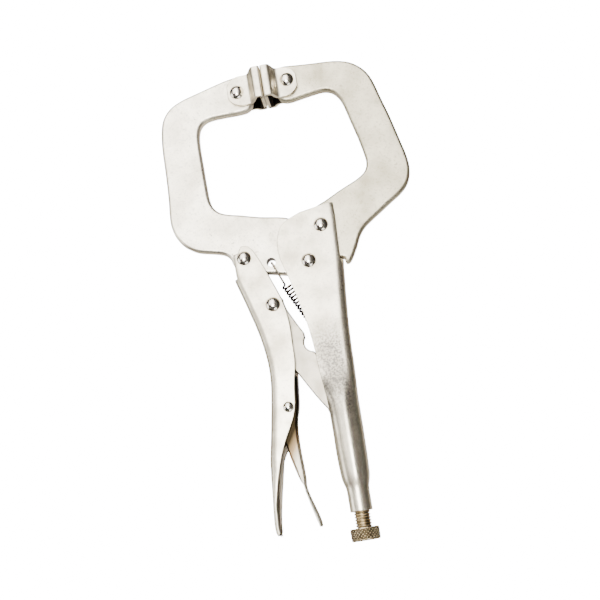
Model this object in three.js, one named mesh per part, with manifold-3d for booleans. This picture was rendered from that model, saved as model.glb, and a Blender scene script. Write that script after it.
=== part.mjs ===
// Locking C-clamp with swivel pads, lying flat, closed and locked.
// Millimetres. +Z is along the rivets, +Y runs up the adjusting screw towards the jaws.
// While the outlines are drawn, x = 0 is the screw's axis and y = 0 the middle of its knob;
// the finished assembly is then moved so its box is centred in x and y and stands on z = 0.
import * as THREE from 'three';
import { mergeVertices, mergeGeometries } from 'three/addons/utils/BufferGeometryUtils.js';
import Module from 'manifold-3d';

const wasm = await Module();
wasm.setup();

// ---------------------------------------------------------------- sizes
const JAW_T = 7.0;            // forged jaw plate thickness
const JAW_BEVEL = 1.7;        // rounded edge of the forged jaws
const GAP = 0.3;              // running clearance beside the jaws
const SHEET = 2.0;            // handle and pad sheet thickness
const IN_HALF = JAW_T / 2 + GAP;        // inside half width of the channels
const OUT_HALF = IN_HALF + SHEET;       // outside half width of the channels
const RIVET_SHANK_R = 3.0;
const RIVET_HOLE_R = 3.3;
const RIVET_HEAD_R = 4.1;
const RIVET_HEAD_H = 1.8;
const SMALL_SHANK_R = 2.0;
const SMALL_HOLE_R = 2.3;
const SMALL_HEAD_R = 3.0;
const SMALL_HEAD_H = 1.4;
const LINK_T = 4.0;           // toggle link plate
const LEVER_SHEET = 1.3;      // release lever sheet
const LEVER_HALF = 3.4;       // outside half width of the release lever
const SCREW_R = 4.6;          // 3/8 inch class thread, crest radius
const SCREW_ROOT_R = 3.9;
const SCREW_PITCH = 1.6;
const SCREW_TIP_Y = 60.0;
const KNOB_R = 8.2;
const KNOB_H = 7.0;
const PAD_HALF_W = 11.6;      // half the pad's width along the rivet
const WIRE_R = 0.5;           // tension spring wire
const COIL_R = 2.25;          // tension spring mean radius
const COIL_PITCH = 1.9;

// pivots
const A = [-5.7, 156.4];      // moving jaw in the fixed handle
const B = [-42.2, 164.3];     // movable handle on the moving jaw
const C = [-29.9, 134.7];     // toggle link in the movable handle
const D = [-3.0, 69.0];       // loose end of the link, at the screw's tip
const E = [-30.4, 75.5];      // release lever in the movable handle
const F = [4.6, 176.0];       // rivet holding the fixed jaw
const PM = [-31.3, 264.9];    // moving pad
const PF = [-1.0, 267.1];     // fixed pad
const FACE_X = -15.5;         // plane where the two pads meet
const HOOK = [-27.2, 159.7];  // hole in the moving jaw for the spring

// ---------------------------------------------------------------- helpers
function toSolid(geometry) {
  const g = mergeVertices(strip(geometry), 1e-4);
  const solid = new wasm.Manifold(new wasm.Mesh({
    numProp: 3,
    vertProperties: new Float32Array(g.attributes.position.array),
    triVerts: new Uint32Array(g.index.array),
  }));
  return solid;
}

function strip(geometry) {
  const g = geometry.clone();
  for (const name of Object.keys(g.attributes)) if (name !== 'position') g.deleteAttribute(name);
  return g;
}

function fromSolid(solid) {
  const m = solid.getMesh();
  const g = new THREE.BufferGeometry();
  g.setAttribute('position', new THREE.BufferAttribute(new Float32Array(m.vertProperties), 3));
  g.setIndex(new THREE.BufferAttribute(new Uint32Array(m.triVerts), 1));
  return g;
}

// a smooth run of points through the given ones
function smooth(points, count) {
  const curve = new THREE.CatmullRomCurve3(points.map(([x, y]) => new THREE.Vector3(x, y, 0)), false, 'centripetal');
  return curve.getSpacedPoints(count).map((p) => [p.x, p.y]);
}

function arc(cx, cy, r, from, to, count) {
  const out = [];
  for (let i = 0; i <= count; i += 1) {
    const a = THREE.MathUtils.degToRad(from + ((to - from) * i) / count);
    out.push([cx + r * Math.cos(a), cy + r * Math.sin(a)]);
  }
  return out;
}

// joins runs of points into one outline and drops doubled points
function outline(...runs) {
  const out = [];
  for (const p of runs.flat()) {
    const q = out[out.length - 1];
    if (!q || Math.hypot(p[0] - q[0], p[1] - q[1]) > 0.25) out.push(p);
  }
  while (Math.hypot(out[0][0] - out[out.length - 1][0], out[0][1] - out[out.length - 1][1]) < 0.25) out.pop();
  return out;
}

function shapeOf(points) {
  return new THREE.Shape(points.map(([x, y]) => new THREE.Vector2(x, y)));
}

// flat plate between two heights
function plate(points, z0, z1) {
  const g = new THREE.ExtrudeGeometry(shapeOf(points), { depth: z1 - z0, bevelEnabled: false, steps: 1 });
  g.translate(0, 0, z0);
  return g;
}

// plate with rounded edges, centred on z = 0
function roundedPlate(points, thickness, bevel, segments) {
  const g = new THREE.ExtrudeGeometry(shapeOf(points), {
    depth: thickness - 2 * bevel,
    bevelEnabled: true,
    bevelThickness: bevel,
    bevelSize: bevel,
    bevelOffset: -bevel,
    bevelSegments: segments,
    steps: 1,
  });
  g.translate(0, 0, -(thickness - 2 * bevel) / 2);
  return g;
}

function drill(at, radius, halfLength) {
  const g = new THREE.CylinderGeometry(radius, radius, 2 * halfLength, 20);
  g.rotateX(Math.PI / 2);
  g.translate(at[0], at[1], 0);
  return toSolid(g);
}

function block(x0, x1, y0, y1, z0, z1) {
  const g = new THREE.BoxGeometry(x1 - x0, y1 - y0, z1 - z0);
  g.translate((x0 + x1) / 2, (y0 + y1) / 2, (z0 + z1) / 2);
  return toSolid(g);
}

// value read from a table of [y, value] pairs given in falling y
function along(table, y) {
  if (y >= table[0][0]) return table[0][1];
  for (let i = 1; i < table.length; i += 1) {
    if (y >= table[i][0]) {
      const k = (table[i - 1][0] - y) / (table[i - 1][0] - table[i][0]);
      return table[i - 1][1] + k * (table[i][1] - table[i - 1][1]);
    }
  }
  return table[table.length - 1][1];
}

// Pressed channel: a U of sheet with a rounded back, which may close into a tube along its length.
// side = +1 puts the back on +x, -1 on -x.
function channel(stations, side) {
  const ringCount = stations.length;
  const rows = stations.map((s) => {
    const path = (inset) => {
      const h = s.half - inset;
      const back = s.back - inset;
      const r = Math.max(s.corner - inset, 0.3);
      const pts = [];
      const flange = 6;
      for (let i = 0; i < flange; i += 1) pts.push([s.edge + ((back - r - s.edge) * i) / flange, h]);
      for (let i = 0; i <= 5; i += 1) {
        const a = Math.PI / 2 - (Math.PI / 2) * (i / 5);
        pts.push([back - r + r * Math.cos(a), h - r + r * Math.sin(a)]);
      }
      for (let i = 0; i <= 5; i += 1) {
        const a = -(Math.PI / 2) * (i / 5);
        pts.push([back - r + r * Math.cos(a), -(h - r) + r * Math.sin(a)]);
      }
      for (let i = flange - 1; i >= 0; i -= 1) pts.push([s.edge + ((back - r - s.edge) * i) / flange, -h]);
      const n = pts.length - 1;
      const rad = s.tubeR - inset;
      const open = Math.asin(Math.min(s.slit / rad, 0.95));
      return pts.map(([x, z], i) => {
        const a = (Math.PI - open) * (1 - (2 * i) / n);
        const tx = s.tubeX + rad * Math.cos(a);
        const tz = rad * Math.sin(a);
        return [x + (tx - x) * s.round, z + (tz - z) * s.round];
      });
    };
    const outer = path(0);
    const inner = path(s.sheet);
    return outer.concat(inner.reverse()).map(([x, z]) => [side * x, s.y, z]);
  });
  const ring = rows[0].length;
  const pos = rows.flat(2);
  const idx = [];
  for (let j = 0; j < ringCount - 1; j += 1) {
    for (let i = 0; i < ring; i += 1) {
      const a = j * ring + i;
      const b = j * ring + ((i + 1) % ring);
      idx.push(a, b, b + ring, a, b + ring, a + ring);
    }
  }
  const half = ring / 2;
  for (let i = 0; i < half - 1; i += 1) {
    const a = i;
    const b = i + 1;
    const c = ring - 2 - i;
    const d = ring - 1 - i;
    idx.push(a, c, b, a, d, c);
    const o = (ringCount - 1) * ring;
    idx.push(o + a, o + b, o + c, o + a, o + c, o + d);
  }
  const g = new THREE.BufferGeometry();
  g.setAttribute('position', new THREE.BufferAttribute(new Float32Array(pos), 3));
  g.setIndex(idx);
  return outward(g);
}

function outward(g) {
  const p = g.attributes.position;
  const id = g.index.array;
  const a = new THREE.Vector3();
  const b = new THREE.Vector3();
  const c = new THREE.Vector3();
  let volume = 0;
  for (let i = 0; i < id.length; i += 3) {
    a.fromBufferAttribute(p, id[i]);
    b.fromBufferAttribute(p, id[i + 1]);
    c.fromBufferAttribute(p, id[i + 2]);
    volume += a.dot(b.cross(c)) / 6;
  }
  if (volume < 0) {
    for (let i = 0; i < id.length; i += 3) {
      const t = id[i + 1];
      id[i + 1] = id[i + 2];
      id[i + 2] = t;
    }
  }
  return g;
}

// a strip of even thickness along a bent line, as an outline
function ribbon(line, thickness) {
  const left = [];
  const right = [];
  for (let i = 0; i < line.length; i += 1) {
    const p = line[i];
    const a = line[Math.max(i - 1, 0)];
    const b = line[Math.min(i + 1, line.length - 1)];
    const d1 = norm(i === 0 ? [b[0] - p[0], b[1] - p[1]] : [p[0] - a[0], p[1] - a[1]]);
    const d2 = norm(i === line.length - 1 ? [p[0] - a[0], p[1] - a[1]] : [b[0] - p[0], b[1] - p[1]]);
    const n1 = [-d1[1], d1[0]];
    const n2 = [-d2[1], d2[0]];
    const m = norm([n1[0] + n2[0], n1[1] + n2[1]]);
    const k = thickness / 2 / (m[0] * n1[0] + m[1] * n1[1]);
    left.push([p[0] + m[0] * k, p[1] + m[1] * k]);
    right.push([p[0] - m[0] * k, p[1] - m[1] * k]);
  }
  return left.concat(right.reverse());
}

function norm(v) {
  const l = Math.hypot(v[0], v[1]) || 1;
  return [v[0] / l, v[1] / l];
}

// domed two-headed rivet along z
function rivet(at, shank, head, height, gripHalf) {
  const z = gripHalf + 0.15;
  const dome = [];
  for (let i = 0; i <= 4; i += 1) {
    const a = (Math.PI / 2) * (i / 4);
    dome.push([head * Math.cos(a), z + 0.35 + (height - 0.35) * Math.sin(a)]);
  }
  const top = [[shank, 0], [shank, z], [head, z], ...dome];
  const bottom = top.slice(1).map(([r, h]) => [r, -h]).reverse();
  const profile = bottom.concat(top.slice(1)).map(([r, h]) => new THREE.Vector2(Math.max(r, 0), h));
  profile[0].x = 0;
  profile[profile.length - 1].x = 0;
  const g = new THREE.LatheGeometry(profile, 16);
  g.rotateX(Math.PI / 2);
  g.translate(at[0], at[1], 0);
  return g;
}

const pieces = [];
function piece(name, geometry, colour, roughness, metalness = 1.0) {
  pieces.push({ name, geometry: strip(geometry), colour, roughness, metalness });
}

const NICKEL = '#d9d6cd';
const BRIGHT = '#e4e2dc';
const DARK = '#8f8a7e';
const ZINC = '#c9a45a';

// ---------------------------------------------------------------- fixed handle
// Pressed channel open towards the movable handle; its flanges carry the jaws, and towards the
// screw it closes into a tube and necks down to the thread.
const FIXED_BACK = [[192, 14.2], [165, 14.2], [154, 13.9], [148, 13.4], [139.5, 12.6], [131, 11.7], [119, 10.8],
  [110, 10.3], [92, 9.9], [82, 9.6], [73, 9.4], [62, 8.9], [53, 8.6], [45, 8.3], [35, 7.7], [28, 6.7], [24, 6.4], [0, 6.3]];
const TUBE_R = [[100, 8.9], [66, 8.95], [55, 8.8], [45, 8.6], [36, 8.3], [31, 7.9], [28, 7.2], [26, 6.5], [24, 6.35], [0, 6.3]];
const SLIT = [[100, 2.9], [54, 2.7], [45, 0.45], [0, 0.3]];
const FIXED_YS = [192, 180, 168, 157, 148, 139, 131, 122, 113, 104, 98, 92, 87, 83, 79, 75, 71, 67, 61, 54, 49.5, 45, 40, 35, 32, 30, 28.5, 27, 25.5, 24, 18, 12.6];
const FIXED_EDGE = [[192, -26], [150, -24], [120, -15], [104, -12.5], [96, -10.6], [88, -10.1], [0, -9.6]];
const NECK_WALL = [[100, SHEET], [34, SHEET], [28, 1.9], [24, 1.45], [0, 1.45]];
{
  const stations = FIXED_YS.map((y) => ({
    y,
    back: along(FIXED_BACK, y),
    edge: along(FIXED_EDGE, y),
    half: OUT_HALF,
    sheet: along(NECK_WALL, y),
    corner: 3.4,
    round: THREE.MathUtils.smoothstep(95 - y, 0, 27),
    tubeR: along(TUBE_R, y),
    tubeX: y > 40 ? -0.15 : 0,
    slit: along(SLIT, y),
  }));
  const side = outline(
    [[20, 188.1]],
    smooth([[13.8, 188.1], [9.1, 188.1], [4.4, 188.0], [0.2, 187.3], [-6.0, 185.8], [-12.3, 183.2], [-16.2, 181.0],
      [-19.0, 178.2], [-20.9, 174.4], [-21.9, 170.0], [-22.2, 165.5], [-21.9, 160.5], [-20.6, 156.0], [-19.2, 150.7],
      [-17.6, 144.0], [-15.7, 136.4], [-13.8, 127.5], [-12.2, 119.0], [-11.0, 109.2], [-10.3, 100.0], [-10.0, 92.0]], 52),
    [[-10.6, 90], [-30, 88], [-30, 0], [20, 0]],
  );
  let solid = toSolid(channel(stations, 1));
  solid = solid.intersect(toSolid(plate(side, -20, 20)));
  solid = solid.subtract(block(9.0, 25, 154.4, 200, -IN_HALF, IN_HALF));
  solid = solid.subtract(drill(A, RIVET_HOLE_R, 12)).subtract(drill(F, RIVET_HOLE_R, 12));
  piece('fixed_handle', fromSolid(solid), BRIGHT, 0.28);
}

// ---------------------------------------------------------------- fixed jaw
// Forged C-shaped arm; it passes through the slot in the back of the fixed handle, is held by one
// rivet and rests on the outside of the handle with its heel.
{
  const line = outline(
    smooth([[-8.3, 272.8], [-6.6, 276.0], [-2.0, 277.2], [6.0, 276.5], [14.1, 275.7], [24.0, 275.0], [31.0, 274.0], [37.0, 272.0],
      [42.0, 268.6], [46.0, 264.0], [49.0, 257.5], [52.0, 245.5], [55.0, 234.0], [58.2, 219.0], [60.2, 209.5],
      [60.9, 202.5], [60.0, 197.0], [57.6, 191.8], [53.0, 187.2], [47.0, 183.3], [40.0, 178.6], [33.5, 174.3],
      [29.0, 170.8], [25.8, 166.6], [22.6, 160.0], [19.4, 154.4]], 60),
    smooth([[19.4, 154.4], [17.6, 152.2], [15.4, 151.6], [13.0, 151.9], [10.6, 153.6], [7.6, 158.6], [4.0, 165.2], [-0.6, 168.6],
      [-3.6, 172.6], [-4.3, 177.4], [-3.0, 182.4], [0.6, 186.6], [5.6, 189.2], [9.7, 190.9], [18.7, 195.3], [28.0, 199.3], [33.0, 202.2], [35.7, 205.5],
      [36.6, 210.0], [36.0, 216.0], [34.2, 225.8], [31.7, 236.5], [29.3, 247.0], [27.0, 252.4], [23.6, 255.9], [19.0, 257.3],
      [12.2, 256.7], [4.8, 255.6], [-0.8, 254.8], [-5.0, 255.4], [-7.8, 258.4], [-8.5, 262.5], [-8.6, 268.0]], 78),
  );
  let solid = toSolid(roundedPlate(line, JAW_T, JAW_BEVEL, 2));
  solid = solid.subtract(drill(F, RIVET_HOLE_R, 12)).subtract(drill(PF, RIVET_HOLE_R, 12));
  solid = solid.subtract(block(0, 14.25, 140, 154.8, -12, 12));
  piece('fixed_jaw', fromSolid(solid), NICKEL, 0.36);
}

// ---------------------------------------------------------------- moving jaw
// Forged C-shaped arm pivoted in the fixed handle, with the handle pivot behind it and a small
// hole for the spring's hook.
{
  const line = outline(
    smooth([[-22.9, 271.5], [-24.6, 275.0], [-29.0, 276.0], [-36.4, 275.2], [-44.2, 273.4], [-53.7, 270.9], [-60.2, 269.2], [-66.5, 267.2],
      [-72.3, 264.2], [-76.3, 260.0], [-78.8, 254.8], [-80.2, 247.0], [-80.8, 238.0], [-80.9, 224.0], [-81.3, 209.0],
      [-82.1, 199.0], [-82.0, 191.8], [-80.0, 184.8], [-76.6, 179.6], [-73.0, 176.5], [-67.8, 173.6], [-60.0, 171.6],
      [-53.8, 169.6], [-50.6, 166.6], [-49.2, 162.4], [-47.4, 158.8], [-44.0, 156.6], [-39.0, 155.6], [-30.1, 153.8], [-19.4, 151.1]], 76),
    smooth([[-19.4, 151.1], [-14.4, 149.6], [-10.2, 148.3], [-5.7, 147.6], [-1.0, 148.4], [2.0, 151.0], [3.3, 156.0], [2.0, 161.0], [-1.4, 164.8],
      [-5.2, 169.0], [-7.2, 174.4], [-9.2, 180.0], [-12.6, 183.6], [-17.6, 185.6], [-29.9, 188.1], [-41.3, 191.3], [-48.6, 193.2], [-53.2, 195.5], [-56.2, 199.5],
      [-57.5, 205.0], [-57.7, 210.0], [-57.9, 217.0], [-58.0, 225.0], [-58.2, 236.0], [-57.8, 243.5], [-56.4, 248.2],
      [-53.5, 251.3], [-49.0, 252.7], [-41.1, 253.0], [-32.0, 253.0], [-26.6, 253.8], [-23.6, 256.6], [-22.6, 261.0], [-22.5, 266.0]], 80),
  );
  let solid = toSolid(roundedPlate(line, JAW_T, JAW_BEVEL, 2));
  for (const at of [A, B, PM]) solid = solid.subtract(drill(at, RIVET_HOLE_R, 12));
  solid = solid.subtract(drill(HOOK, 2.5, 12));
  piece('moving_jaw', fromSolid(solid), NICKEL, 0.36);
}

// ---------------------------------------------------------------- movable handle
// Pressed channel with its back outwards; the back is cut away at the top so the jaw can turn.
const MOV_BACK = [[174, 49.8], [160, 49.8], [154, 49.6], [149, 48.8], [143, 47.0], [137, 45.4], [129, 43.2], [123, 41.6],
  [116.5, 40.2], [109.5, 39.1], [103, 38.4], [97.5, 38.2], [92, 38.5], [84.5, 39.3], [76, 40.6], [65, 42.4],
  [54, 44.4], [46, 45.7], [37.5, 46.5], [29, 47.1], [21, 47.7], [15.5, 48.2], [11, 48.3], [7.6, 47.9]];
{
  const ys = [174, 166, 159, 154, 149, 143, 137, 129, 123, 116.5, 109.5, 103, 97.5, 92, 84.5, 76, 65, 54, 46, 37.5, 29, 21, 15.5, 11, 7.6];
  const stations = ys.map((y) => ({
    y,
    back: along(MOV_BACK, y),
    edge: 18,
    half: OUT_HALF,
    sheet: SHEET,
    corner: 3.4,
    round: 0,
    tubeR: 8,
    tubeX: 0,
    slit: 1,
  }));
  const top = smooth([[-52.0, 160.0], [-50.4, 165.0], [-48.0, 169.2], [-45.0, 171.2], [-41.7, 171.7], [-38.4, 170.3], [-36.0, 167.4], [-34.2, 163.5], [-32.4, 159.1],
    [-30.6, 154.2], [-28.4, 147.8], [-26.4, 142.2], [-24.8, 137.5], [-23.6, 133.0], [-22.9, 128.5], [-22.5, 123.5],
    [-22.3, 118.3], [-22.4, 112.5], [-22.5, 106.7]], 44);
  const near = smooth([[-22.5, 106.7], [-22.7, 100.5], [-23.9, 93.5], [-25.4, 85.5], [-26.1, 79.0], [-27.0, 73.8], [-28.9, 68.8], [-31.4, 63.7],
    [-34.2, 58.5], [-36.7, 53.4], [-38.9, 48.1], [-40.6, 42.9], [-42.2, 36.5], [-43.6, 30.1], [-44.7, 24.0], [-45.5, 18.0], [-45.9, 12.0], [-46.2, 8.6], [-47.4, 7.0]], 46);
  const far = smooth([[-22.5, 106.7], [-22.4, 100.5], [-23.0, 93.5], [-23.9, 85.5], [-24.4, 79.0], [-25.2, 73.8], [-27.0, 68.8], [-29.5, 63.7],
    [-32.2, 58.5], [-34.7, 53.4], [-36.9, 48.1], [-38.6, 42.9], [-40.2, 36.5], [-41.8, 30.1], [-43.1, 24.0], [-44.2, 18.0], [-44.8, 12.0], [-45.4, 8.6], [-47.0, 6.9]], 46);
  const close = [[-60, 5], [-60, 160]];
  const nearPlate = toSolid(plate(outline(top, near, close), 0, 20));
  const farPlate = toSolid(plate(outline(top, far, close), -20, 0));
  let solid = toSolid(channel(stations, -1)).intersect(nearPlate.add(farPlate));
  solid = solid.subtract(block(-60, -44.5, 153.2, 200, -IN_HALF, IN_HALF));
  for (const at of [B, C]) solid = solid.subtract(drill(at, RIVET_HOLE_R, 12));
  solid = solid.subtract(drill(E, SMALL_HOLE_R, 12));
  piece('movable_handle', fromSolid(solid), BRIGHT, 0.28);
}

// ---------------------------------------------------------------- toggle link
// Flat stamped plate from the movable handle down to the screw's tip, with a round bite on its upper edge.
{
  const line = outline(
    arc(C[0], C[1], 6.5, 175, 25, 9),
    smooth([[-23.9, 133.6], [-21.3, 128.2], [-18.6, 122.6], [-15.3, 116.4]], 4),
    arc(-10.8, 110.2, 5.4, 142, 262, 9),
    smooth([[-8.2, 100.0], [-4.6, 90.0], [-0.4, 79.0], [2.1, 72.0]], 5),
    arc(D[0], D[1], 5.2, 20, -160, 10),
    smooth([[-9.4, 71.6], [-12.7, 76.6], [-17.2, 84.2], [-21.6, 92.2], [-24.0, 96.0], [-27.6, 101.0], [-31.2, 108.5], [-34.4, 120.0], [-36.4, 132.0]], 12),
  );
  const solid = toSolid(roundedPlate(line, LINK_T, 0.5, 1)).subtract(drill(C, RIVET_HOLE_R, 12));
  piece('toggle_link', fromSolid(solid), NICKEL, 0.34);
}

// ---------------------------------------------------------------- release lever
// Narrow pressed channel inside the movable handle; its back faces the fixed handle and runs out as a flat tail.
const LEVER_BACK = [[92, -23.2], [90, -23.3], [82, -24.1], [76, -24.7], [72, -25.6], [68, -26.7], [60, -27.5], [53, -27.6], [45.5, -27.4],
  [40, -27.2], [34.5, -27.1], [30, -26.6], [23, -25.0], [16.5, -23.6], [12.5, -22.6], [8.5, -21.7]];
{
  const ys = [91, 86, 80, 75, 71, 67, 60, 53, 45.5, 40, 34.5, 30, 26, 23, 19.5, 16.5, 12.5, 8.5];
  const stations = ys.map((y) => ({
    y,
    back: along(LEVER_BACK, y),
    edge: -40,
    half: LEVER_HALF,
    sheet: LEVER_SHEET,
    corner: 1.7,
    round: 0,
    tubeR: 8,
    tubeX: 0,
    slit: 1,
  }));
  const tail = [34.5, 30, 26, 23, 19.5, 16.5, 12.5, 9.5].map((y) => [along(LEVER_BACK, y) - 1.9, y]).reverse();
  const line = outline(
    [[-15, 7.0], [-15, 96], [-26.0, 96]],
    smooth([[-26.0, 91.4], [-29.4, 89.4], [-33.2, 84.8], [-35.8, 79.0], [-36.4, 73.5], [-36.0, 67.0], [-35.4, 60.0], [-34.3, 52.8], [-33.1, 46.6], [-31.6, 40.6], [-29.9, 36.2]], 22),
    tail.slice().reverse(),
    [[-23.0, 7.6]],
  );
  let solid = toSolid(channel(stations, 1)).intersect(toSolid(plate(line, -20, 20)));
  solid = solid.subtract(drill(E, SMALL_HOLE_R, 12));
  piece('release_lever', fromSolid(solid), NICKEL, 0.3);
}

// ---------------------------------------------------------------- adjusting screw and knob
// Threaded rod in the necked end of the fixed handle, and the knurled knob that turns it.
{
  const profile = [[0, 3.9], [3.2, 3.9]];
  let y = 4.4;
  profile.push([SCREW_ROOT_R, y]);
  while (y < 34) {
    profile.push([SCREW_R, y + SCREW_PITCH * 0.4], [SCREW_R, y + SCREW_PITCH * 0.6], [SCREW_ROOT_R, y + SCREW_PITCH]);
    y += SCREW_PITCH;
  }
  profile.push([SCREW_ROOT_R + 0.2, y + 0.4], [SCREW_ROOT_R + 0.2, SCREW_TIP_Y - 1.5], [2.6, SCREW_TIP_Y], [0, SCREW_TIP_Y]);
  const g = new THREE.LatheGeometry(profile.map(([r, h]) => new THREE.Vector2(r, h)), 18);
  piece('adjusting_screw', g, ZINC, 0.35);
  const k = KNOB_H / 2;
  const knob = [[0, -k], [KNOB_R - 1.5, -k], [KNOB_R - 0.4, -k + 0.5], [KNOB_R, -k + 1.2], [KNOB_R, k - 1.0], [KNOB_R - 0.8, k - 0.2], [KNOB_R - 1.6, k], [0, k]];
  piece('adjusting_knob', new THREE.LatheGeometry(knob.map(([r, h]) => new THREE.Vector2(r, h)), 32), ZINC, 0.42);
}

// ---------------------------------------------------------------- swivel pads
// One folded strip each: flat face, sides bent back, then stepped in to two rounded ears on the jaw tip.
function pad(name, side, pivot, ears) {
  const x = (d) => FACE_X + side * d;
  const mid = PAD_HALF_W - SHEET / 2;
  const ear = IN_HALF + SHEET / 2;
  const half = [[1.15, mid], [4.6, mid], [6.6, ear + 1.6], [8.4, ear], [24, ear]];
  const line = [...half.slice().reverse().map(([d, z]) => [x(d), -z]), ...half.map(([d, z]) => [x(d), z])];
  const section = ribbon(line, SHEET);
  const g = new THREE.ExtrudeGeometry(shapeOf(section), { depth: 40, bevelEnabled: false, steps: 1 });
  g.rotateX(Math.PI / 2);
  g.translate(0, 285, 0);
  let solid = toSolid(outward(mergeVertices(strip(g), 1e-4)));
  solid = solid.intersect(toSolid(plate(ears, -20, 20)));
  solid = solid.subtract(drill(pivot, RIVET_HOLE_R, 12));
  piece(name, fromSolid(solid), BRIGHT, 0.3);
}
pad('moving_pad', -1, PM, outline(
  [[FACE_X, 258.6], [FACE_X, 276.0], [-16.4, 276.9], [-20.4, 276.6]],
  smooth([[-21.8, 275.9], [-25.6, 275.2], [-29.4, 274.3], [-33.2, 272.2], [-36.2, 269.0], [-37.4, 265.2], [-36.8, 261.4], [-34.8, 258.6],
    [-31.8, 256.8], [-27.4, 256.0], [-23.4, 256.5], [-20.6, 257.7]], 22),
  [[-16.4, 257.7]],
));
pad('fixed_pad', 1, PF, outline(
  [[FACE_X, 276.0], [FACE_X, 258.6], [-14.6, 257.7], [-10.4, 257.7]],
  smooth([[-8.6, 257.3], [-4.8, 256.8], [-1.4, 257.2], [2.0, 259.0], [4.4, 262.0], [5.4, 266.0], [4.6, 270.0],
    [2.4, 273.0], [-1.0, 274.9], [-5.4, 275.8], [-9.4, 276.2]], 22),
  [[-10.6, 276.8], [-14.6, 276.9]],
));

// ---------------------------------------------------------------- tension spring
// Close coil with a long hook over the face of the moving jaw into its hole.
{
  const dir = new THREE.Vector3(0.437, -0.899, 0).normalize();
  const side = new THREE.Vector3(dir.y, -dir.x, 0);
  const start = new THREE.Vector3(-21.2, 145.6, 0);
  const turns = 22;
  const points = [
    new THREE.Vector3(HOOK[0], HOOK[1], -1.6),
    new THREE.Vector3(HOOK[0], HOOK[1], 1.2),
    new THREE.Vector3(HOOK[0] + 0.25, HOOK[1] - 0.5, 3.8),
    new THREE.Vector3(HOOK[0] + 1.3, HOOK[1] - 2.7, 4.6),
    new THREE.Vector3(HOOK[0] + 3.1, HOOK[1] - 6.4, 4.5),
    new THREE.Vector3(HOOK[0] + 4.6, HOOK[1] - 10.0, 3.6),
    new THREE.Vector3(HOOK[0] + 5.4, HOOK[1] - 12.2, 2.7),
  ];
  const per = 8;
  for (let i = 0; i <= turns * per; i += 1) {
    const a = (2 * Math.PI * i) / per;
    const at = (COIL_PITCH * i) / per;
    points.push(start.clone().addScaledVector(dir, at)
      .addScaledVector(side, COIL_R * Math.sin(a))
      .add(new THREE.Vector3(0, 0, COIL_R * Math.cos(a))));
  }
  const end = start.clone().addScaledVector(dir, COIL_PITCH * turns);
  points.push(end.clone().addScaledVector(dir, 1.6).add(new THREE.Vector3(0, 0, 1.4)));
  points.push(end.clone().addScaledVector(dir, 4.4));
  points.push(end.clone().addScaledVector(dir, 7.4).add(new THREE.Vector3(0.6, 0, 0)));
  const path = new THREE.CatmullRomCurve3(points, false, 'centripetal');
  const wire = new THREE.Shape(arc(0, 0, WIRE_R, 0, 300, 5).map(([a, b]) => new THREE.Vector2(a, b)));
  const g = new THREE.ExtrudeGeometry(wire, { steps: turns * 8 + 18, bevelEnabled: false, extrudePath: path });
  piece('tension_spring', outward(mergeVertices(strip(g), 1e-4)), DARK, 0.4);
}

// ---------------------------------------------------------------- rivets
const GRIP = OUT_HALF;
piece('fixed_jaw_rivet', rivet(F, RIVET_SHANK_R, RIVET_HEAD_R, RIVET_HEAD_H, GRIP), BRIGHT, 0.12);
piece('jaw_pivot_rivet', rivet(A, RIVET_SHANK_R, RIVET_HEAD_R, RIVET_HEAD_H, GRIP), BRIGHT, 0.12);
piece('handle_pivot_rivet', rivet(B, RIVET_SHANK_R, RIVET_HEAD_R, RIVET_HEAD_H, GRIP), BRIGHT, 0.12);
piece('link_rivet', rivet(C, RIVET_SHANK_R, RIVET_HEAD_R, RIVET_HEAD_H, GRIP), BRIGHT, 0.12);
piece('release_lever_rivet', rivet(E, SMALL_SHANK_R, SMALL_HEAD_R, SMALL_HEAD_H, GRIP), BRIGHT, 0.16);
piece('fixed_pad_rivet', rivet(PF, RIVET_SHANK_R, RIVET_HEAD_R, RIVET_HEAD_H, GRIP), BRIGHT, 0.12);
piece('moving_pad_rivet', rivet(PM, RIVET_SHANK_R, RIVET_HEAD_R, RIVET_HEAD_H, GRIP), BRIGHT, 0.12);

// ---------------------------------------------------------------- assembly
const box = new THREE.Box3();
for (const p of pieces) {
  p.geometry.computeBoundingBox();
  box.union(p.geometry.boundingBox);
}
const shift = new THREE.Vector3(-(box.min.x + box.max.x) / 2, -(box.min.y + box.max.y) / 2, -box.min.z);
const clamp = new THREE.Group();
clamp.name = 'locking_c_clamp';
for (const p of pieces) {
  p.geometry.translate(shift.x, shift.y, shift.z);
  const g = p.geometry.index ? p.geometry.toNonIndexed() : p.geometry;
  g.computeVertexNormals();
  const material = new THREE.MeshStandardMaterial({ color: p.colour, roughness: p.roughness, metalness: p.metalness });
  material.name = p.name;
  const mesh = new THREE.Mesh(g, material);
  mesh.name = p.name;
  clamp.add(mesh);
}
clamp.userData.shift = shift.toArray();
export default clamp;
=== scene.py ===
"""Locking C-clamp pliers with swivel pads, closed and locked, lying flat on a pale floor.

Outlines are in millimetres from the adjusting screw: x = 0 on its axis, y = 0 in the middle of
its knob, z = 0 in the middle of the jaws. to_row() takes them to the row frame in metres.
"""

import bpy
import numpy as np
from mathutils import Matrix, Vector
from mathutils.geometry import tessellate_polygon


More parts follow.
